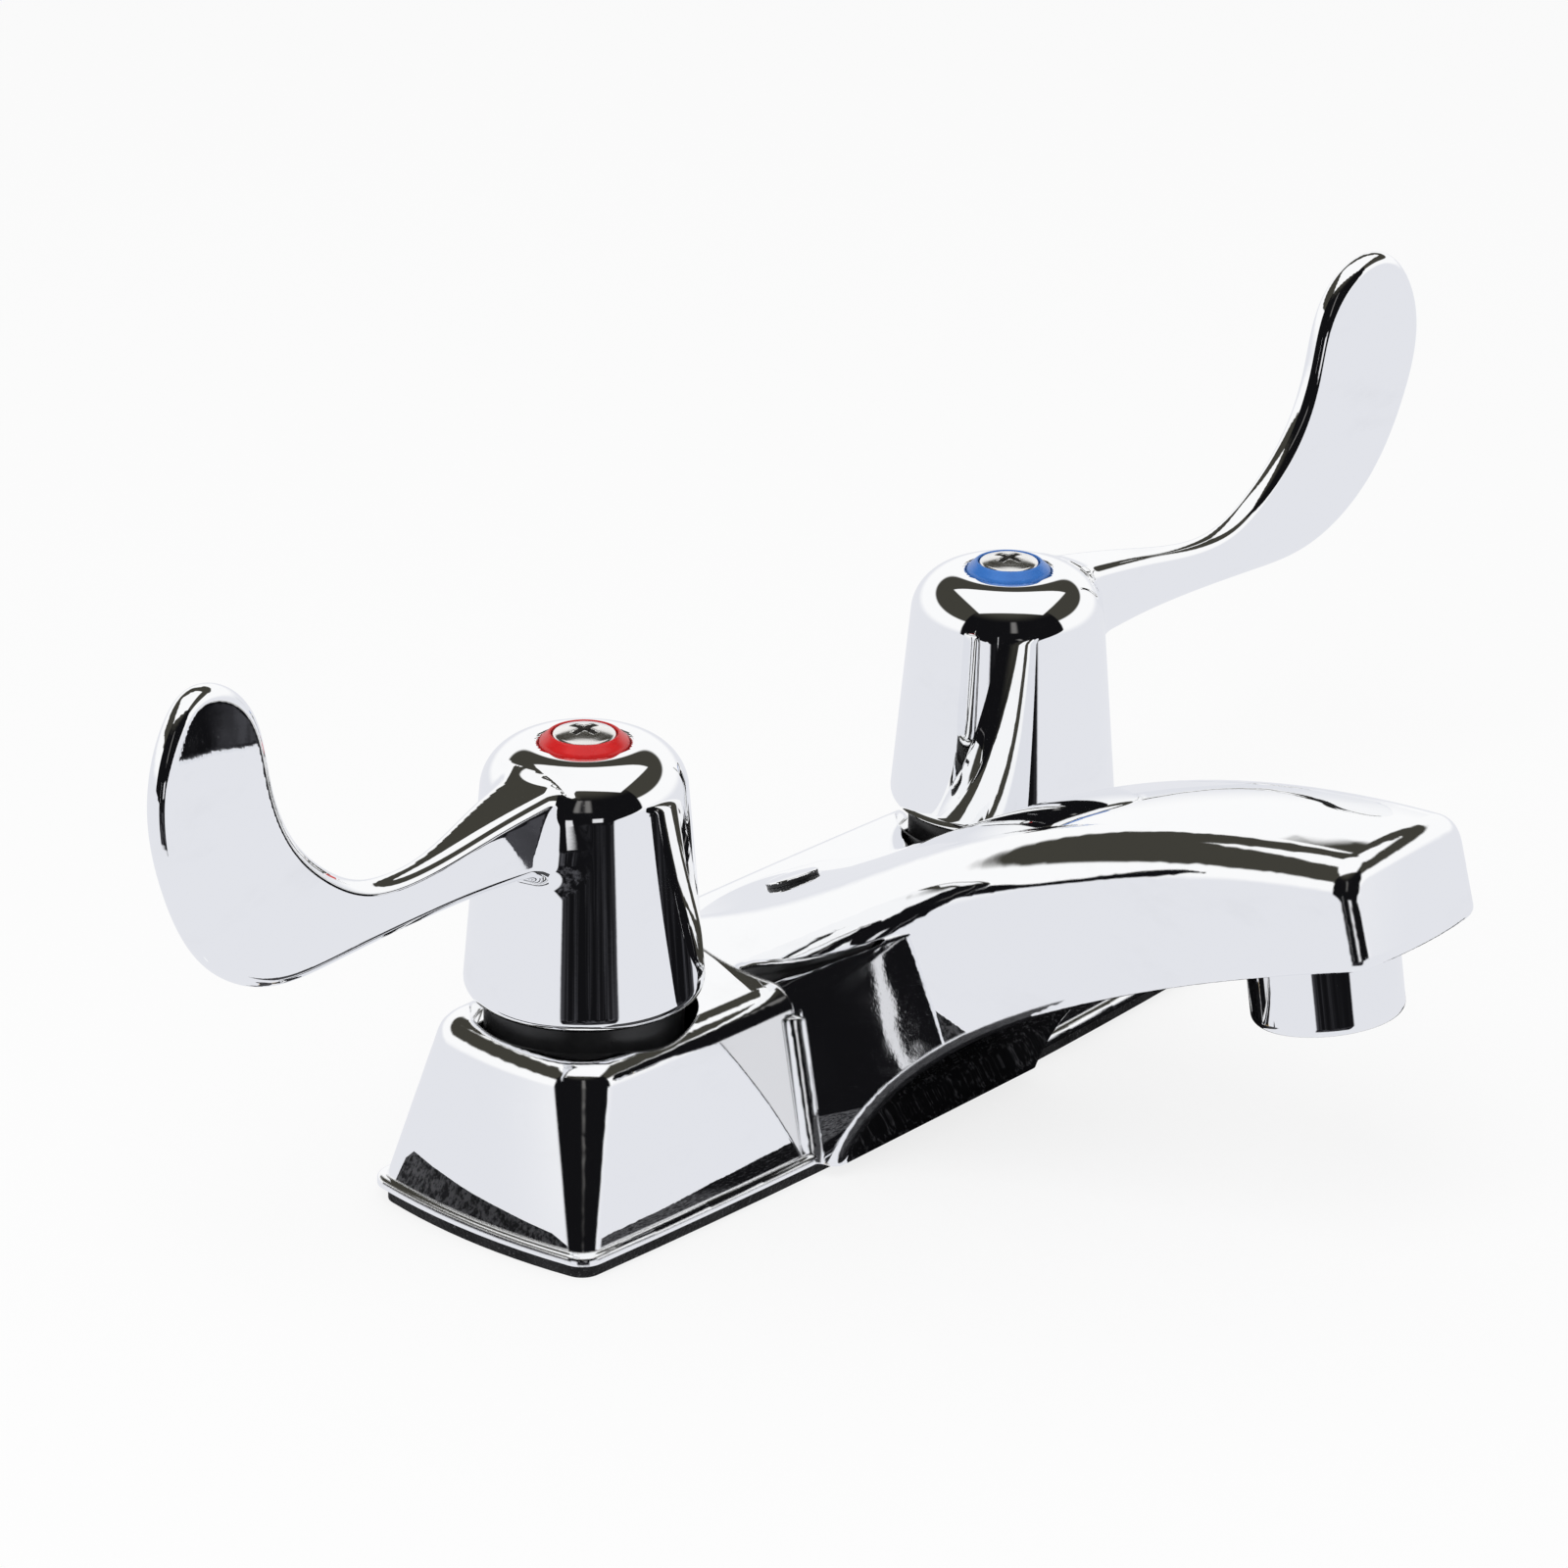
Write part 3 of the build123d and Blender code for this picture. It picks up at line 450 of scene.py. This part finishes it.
looks = {
    "chrome_plate": chrome("chrome_body", (0.95, 0.955, 0.965, 1)),
    "chrome_trim": chrome("chrome_turned", (0.94, 0.945, 0.955, 1), 0.0002),
    "gasket_foam": foam(),
    "black_plastic": plastic(
        "sleeve_black", (0.010, 0.010, 0.011, 1), (0.018, 0.018, 0.019, 1), 0.34
    ),
    "red_plastic": plastic("index_red", (0.66, 0.012, 0.012, 1), (0.58, 0.010, 0.012, 1), 0.30),
    "blue_plastic": plastic("index_blue", (0.042, 0.190, 0.590, 1), (0.034, 0.160, 0.520, 1), 0.30),
    "grey_plastic": plastic("insert_grey", (0.42, 0.43, 0.44, 1), (0.36, 0.37, 0.38, 1), 0.42),
    "brass": metal("brass_turned", (0.80, 0.60, 0.28, 1), (0.66, 0.47, 0.20, 1), 0.30),
    "steel": metal("steel_pressed", (0.62, 0.62, 0.61, 1), (0.50, 0.50, 0.50, 1), 0.34),
    "screw_steel": metal("screw_bright", (0.90, 0.89, 0.87, 1), (0.82, 0.81, 0.79, 1), 0.16),
    "ceramic": dull("ceramic_white", (0.80, 0.79, 0.76, 1), (0.72, 0.71, 0.69, 1), 0.22, 1600.0),
    "seal_rubber": dull("seal_black", (0.016, 0.016, 0.016, 1), (0.030, 0.030, 0.030, 1), 0.62),
}
# Dark material for the cross recess of the screws: painted shade in the recess.
recess_painted_shade = dull("recess_painted_shade", (0.035, 0.033, 0.030, 1), (0.070, 0.066, 0.060, 1), 0.5, 2400.0)
handle_chrome = chrome("chrome_handle", (0.95, 0.955, 0.965, 1), 0.0)


# Handles: one smooth skin over hub and blade, with the hollow, socket and ring seat inside.
# All in millimetres about the stem axis, blade towards -X.
stem_offset = 50.8
hub_low, hub_low_radius, hub_foot = 32.8, 18.55, 2.6
hub_high, hub_high_radius, hub_shoulder = 73.0, 15.05, 7.0
hub_wall, hollow_top = 2.2, 62.0
post_radius, post_low = 7.4, 51.0
socket_radius, socket_top, tooth_depth, teeth_count = 4.35, 64.5, 0.45, 20
seat_radius, seat_level, screw_hole_radius = 6.95, 72.0, 2.12
blade_start, bow_start, bow_span, bow_depth = 13.0, 45.0, 59.0, 6.3
blade_front, blade_back, root_back_y = -7.3, -3.1, 5.0
front_rounding, back_rounding = 2.1, 1.9
blade_points = [
    (6.0, 56.9), (28.0, 58.9), (60.0, 58.4), (73.0, 59.4), (86.6, 67.4), (94.7, 81.2),
    (97.2, 93.8), (94.4, 103.4), (88.8, 108.4), (81.2, 107.2), (75.2, 101.0), (72.3, 90.5),
    (68.0, 80.7), (60.5, 73.0), (52.0, 68.4), (43.0, 67.6), (28.0, 69.4), (6.0, 71.6),
]


def smooth_line(points, per_span=12):
    """Dense line through points: a cubic with continuous curvature over the chord lengths."""
    points = np.array(points, float)
    t = np.concatenate([[0.0], np.cumsum(np.linalg.norm(np.diff(points, axis=0), axis=1))])
    h = np.diff(t)
    count = len(points)
    system = np.eye(count)
    right = np.zeros((count, 2))
    for i in range(1, count - 1):
        system[i, i - 1 : i + 2] = h[i - 1], 2 * (h[i - 1] + h[i]), h[i]
        right[i] = 6 * ((points[i + 1] - points[i]) / h[i] - (points[i] - points[i - 1]) / h[i - 1])
    bend = np.linalg.solve(system, right)
    line = []
    for i in range(count - 1):
        for s in np.linspace(0, h[i], per_span, endpoint=False):
            a, b = h[i] - s, s
            line.append(
                (bend[i] * a**3 + bend[i + 1] * b**3) / (6 * h[i])
                + (points[i] / h[i] - bend[i] * h[i] / 6) * a
                + (points[i + 1] / h[i] - bend[i + 1] * h[i] / 6) * b
            )
    line.append(points[-1])
    return np.array(line)


def outline_distance(line, u, v):
    """Signed distance to a closed outline, negative inside."""
    shape = u.shape
    u, v = u.ravel(), v.ravel()
    out = np.empty(len(u))
    start, end = line, np.roll(line, -1, axis=0)
    along = end - start
    length = (along**2).sum(1)
    for first in range(0, len(u), 20000):
        part = slice(first, first + 20000)
        du = u[part, None] - start[None, :, 0]
        dv = v[part, None] - start[None, :, 1]
        share = np.clip((du * along[:, 0] + dv * along[:, 1]) / length, 0, 1)
        near = np.min((du - share * along[:, 0]) ** 2 + (dv - share * along[:, 1]) ** 2, axis=1)
        crosses = (start[:, 1] > v[part, None]) != (end[:, 1] > v[part, None])
        with np.errstate(divide="ignore", invalid="ignore"):
            at = start[:, 0] + (v[part, None] - start[:, 1]) / along[:, 1] * along[:, 0]
        inside = (crosses & (u[part, None] < at)).sum(1) % 2 == 1
        out[part] = np.where(inside, -1.0, 1.0) * np.sqrt(near)
    return out.reshape(shape)


def round_both(a, b, radius):
    """Space inside both, with the edge between them rounded."""
    corner = np.hypot(np.maximum(a + radius, 0), np.maximum(b + radius, 0))
    return np.minimum(np.maximum(a, b), -radius) + corner


def blend_either(a, b, reach):
    """Space inside either, with a hollow fillet between them."""
    near = np.maximum(reach - np.abs(a - b), 0) / reach
    return np.minimum(a, b) - near**2 * reach / 4


blade_outline = smooth_line(blade_points)


def bezier(points, t):
    (a, b, c, d) = points
    return a * (1 - t) ** 3 + 3 * b * t * (1 - t) ** 2 + 3 * c * t**2 * (1 - t) + d * t**3


root_share = np.linspace(0, 1, 60)
root_reach = bezier((bow_start, 31.775, hub_low_radius, 0.0), root_share)
root_back = bezier((blade_back, blade_back, root_back_y, root_back_y), root_share)


def handle_field(x, y, z, front=None):
    """Field of the handle: negative in the metal, about one per millimetre."""
    rho = np.hypot(x, y)
    slope = (hub_high_radius - hub_low_radius) / (hub_high - hub_low)
    taper = hub_low_radius + slope * (z - hub_low)
    side_gap = (rho - taper) / math.hypot(1, slope)
    hub = round_both(round_both(side_gap, z - hub_high, hub_shoulder), hub_low - z, hub_foot)
    reach = -x
    if front is None:
        front = outline_distance(blade_outline, reach, z)
    bow = bow_depth * (np.maximum(reach - bow_start, 0) / bow_span) ** 2
    front_y = blade_front - bow
    root_y = np.interp(reach, root_reach[::-1], root_back[::-1])
    back_y = np.where(reach > bow_start, blade_back - bow, root_y)
    blade = round_both(front, front_y - y, front_rounding)
    blade = round_both(blade, y - back_y, back_rounding)
    blade = np.maximum(blade, blade_start - reach)
    # The fillet between hub and blade is tighter near the top
    solid = blend_either(hub, blade, np.interp(z, (62.0, 70.0), (4.5, 2.2)))
    hollow = np.maximum(rho - taper + hub_wall, z - hollow_top)
    hollow = np.maximum(hollow, -np.maximum(rho - post_radius, post_low - z))
    teeth = tooth_depth * np.abs((np.arctan2(y, x) * teeth_count / (2 * np.pi)) % 1.0 * 2 - 1)
    socket = np.maximum(rho - socket_radius + teeth, z - socket_top)
    seat = np.maximum(rho - seat_radius, seat_level - z)
    for space in (hollow, socket, rho - screw_hole_radius):
        solid = np.maximum(solid, -space)
    return round_both(solid, -seat, 0.25)


def field_gradient(field, points, step=0.02):
    steps = []
    for axis in range(3):
        shift = np.zeros(3)
        shift[axis] = step
        high, low = points + shift, points - shift
        steps.append((field(*high.T) - field(*low.T)) / (2 * step))
    return np.stack(steps, axis=1)


def skin(field, values, axes):
    """Points, quads and normals of the zero level of a field that was read on a grid."""
    grid = openvdb.FloatGrid(1e3)
    grid.copyFromArray(values.astype(np.float32))
    places, quads = grid.convertToQuads(0.0)
    columns = [np.interp(places[:, i], np.arange(len(axes[i])), axes[i]) for i in range(3)]
    points = np.stack(columns, axis=1)
    for _ in range(4):
        slope = field_gradient(field, points)
        size = np.maximum((slope**2).sum(1), 0.2)
        points -= np.clip(slope * (field(*points.T) / size)[:, None], -0.3, 0.3)
    normals = field_gradient(field, points)
    normals /= np.linalg.norm(normals, axis=1)[:, None] + 1e-9
    a, b, c = (points[quads[:, i]] for i in range(3))
    if (np.cross(b - a, c - a) * normals[quads[:, 0]]).sum() < 0:
        quads = quads[:, ::-1]
    return points, quads, normals


def skin_object(name, points, quads, normals):
    mesh = bpy.data.meshes.new(name)
    mesh.vertices.add(len(points))
    mesh.vertices.foreach_set("co", (points / 1000).astype(np.float32).ravel())
    mesh.loops.add(4 * len(quads))
    mesh.loops.foreach_set("vertex_index", quads.astype(np.int32).ravel())
    mesh.polygons.add(len(quads))
    mesh.polygons.foreach_set("loop_start", np.arange(0, 4 * len(quads), 4, dtype=np.int32))
    mesh.update(calc_edges=True)
    mesh.validate()
    mesh.polygons.foreach_set("use_smooth", np.ones(len(mesh.polygons), bool))
    mesh.normals_split_custom_set_from_vertices(normals.tolist())
    piece = bpy.data.objects.new(name, mesh)
    scene.collection.objects.link(piece)
    return piece


# Index ring and screw about the stem axis, and the button of the lift-rod hole about its own
ring_radius, ring_foot, ring_top = 6.85, 72.02, 74.45
ring_seat_radius, ring_seat_level = 5.02, 72.9
screw_top, head_radius, head_foot = 75.2, 4.95, 72.92
head_dome_radius, head_dome_centre = 14.29, 60.91
cross_depth, cross_reach, cross_half_width = 1.7, 2.6, 0.66
shaft_radius, thread_height, thread_pitch = 1.7, 0.28, 0.8
shaft_top, shaft_foot = 73.0, 59.95
button_radius, button_dome_radius, button_dome_centre = 4.3, 26.6, -25.45
button_stem_radius, button_stem_foot = 2.9, -7.0


def index_ring_field(x, y, z):
    rho = np.hypot(x, y)
    slope = (rho - 6.75) * 0.66 + (z - 73.2) * 0.75
    solid = round_both(rho - ring_radius, slope, 0.35)
    solid = np.maximum(round_both(solid, z - ring_top, 0.2), ring_foot - z)
    solid = round_both(solid, -np.maximum(rho - ring_seat_radius, ring_seat_level - z), 0.12)
    return np.maximum(solid, screw_hole_radius - rho)


def screw_field(x, y, z):
    rho = np.hypot(x, y)
    dome = np.sqrt(rho**2 + (z - head_dome_centre) ** 2) - head_dome_radius
    head = np.maximum(round_both(rho - head_radius, dome, 0.5), head_foot - z)
    depth = np.clip(screw_top - z, 0, cross_depth)
    for along, across in ((x, y), (y, x)):
        end = np.abs(along) - cross_reach + 0.6 * depth
        flank = np.abs(across) - cross_half_width + 0.16 * depth
        head = round_both(head, -np.maximum(np.maximum(end, flank), 73.5 - z), 0.1)
    turn = (z / thread_pitch - np.arctan2(y, x) / (2 * np.pi)) % 1.0
    thread = rho - shaft_radius - thread_height * (1 - np.abs(2 * turn - 1))
    shaft = np.maximum(thread, np.maximum(z - shaft_top, shaft_foot - z))
    return np.minimum(head, shaft)


def plug_field(x, y, z):
    out = np.hypot(x, y)
    dome = np.sqrt(out**2 + (z - button_dome_centre) ** 2) - button_dome_radius
    flank = out - button_radius + 0.12 * (0.5 - np.clip(z, -0.5, 0.5))
    button = np.maximum(round_both(flank, dome, 0.3), -0.3 - z)
    stem = np.maximum(out - button_stem_radius, np.maximum(z, button_stem_foot - z))
    return np.minimum(button, stem)


def small_skin(field, half, low, high, pitch):
    """Skin of a round piece about the Z axis."""
    span = np.arange(-half, half + pitch, pitch)
    axes = [span, span, np.arange(low, high + pitch, pitch)]
    return skin(field, field(*np.meshgrid(*axes, indexing="ij")), axes)


def darken(piece, material, chosen):
    """Second material on the chosen faces."""
    piece.data.materials.append(material)
    piece.data.polygons.foreach_set("material_index", chosen.astype(np.int32))


def add_small_pieces():
    pitch = 0.17
    rings = small_skin(index_ring_field, 7.2, 71.6, 75.4, pitch)
    screws = small_skin(screw_field, 5.2, 59.6, 76.3, pitch)
    for side_name, offset, colour in (
        ("hot", -stem_offset, "red_plastic"),
        ("cold", stem_offset, "blue_plastic"),
    ):
        for part, (points, quads, normals), slot in (
            ("index_ring", rings, colour),
            ("handle_screw", screws, "screw_steel"),
        ):
            placed = points + (offset, 0, 0)
            piece = skin_object(f"{side_name}_{part}_skin", placed, quads, normals)
            piece.data.materials.append(looks[slot])
            if part == "handle_screw":
                # Faces 0.32 to 1.75 mm down the cross recess take the dark material: painted shade
                # in the recess.
                middle = points[quads].mean(axis=1)
                below = screw_top - middle[:, 2]
                near_axis = np.hypot(middle[:, 0], middle[:, 1]) < 2.75
                darken(piece, recess_painted_shade, (below > 0.32) & near_axis & (below < 1.75))
            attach(piece, side_name + "_lever")
            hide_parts(f"{side_name}_{part}")
    # The button sits square on the slope behind the spout
    points, quads, normals = small_skin(plug_field, 4.6, -7.2, 2.2, pitch)
    ahead, up = np.array([0.0, -0.91444, 0.40472]), np.array([0.0, 0.40472, 0.91444])
    turn = np.stack([np.array([-1.0, 0.0, 0.0]), ahead, up])
    piece = skin_object("plug_skin", points @ turn + (0.0, 1.8, 33.879), quads, normals @ turn)
    piece.data.materials.append(handle_chrome)
    # Faces of the button below 0.62 mm take the black sleeve plastic: painted shade of the gap
    # under its rim.
    darken(piece, looks["black_plastic"], points[quads][:, :, 2].mean(axis=1) < 0.62)
    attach(piece, "faucet")
    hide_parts("lift_rod_hole_plug")


def add_handles():
    pitch = 0.5
    low = np.array([-98.5, -20.0, 31.5])
    high = np.array([19.8, 20.0, 110.0])
    axes = [np.arange(low[i], high[i] + pitch, pitch) for i in range(3)]
    reach, height = np.meshgrid(-axes[0], axes[2], indexing="ij")
    front = outline_distance(blade_outline, reach, height)[:, None, :]
    x, y, z = np.meshgrid(*axes, indexing="ij")
    values = handle_field(x, y, z, np.broadcast_to(front, x.shape))
    points, quads, normals = skin(handle_field, values, axes)
    for side_name, sign in (("hot", 1), ("cold", -1)):
        turned = (points - (stem_offset, 0, 0)) * (sign, 1, 1)
        faces = quads if sign > 0 else quads[:, ::-1]
        piece = skin_object(side_name + "_handle_skin", turned, faces, normals * (sign, 1, 1))
        piece.data.materials.append(handle_chrome)
        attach(piece, side_name + "_lever")
        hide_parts(side_name + "_handle")


def dress():
    """Every carried-over solid gets the look of its material slot."""
    for part in frame["record"]["subparts"]:
        data = nodes[part["node"]].data
        data.materials.clear()
        data.materials.append(looks[part["material_slot"]])


dress()
add_handles()
add_small_pieces()

scene.view_settings.view_transform = "Standard"
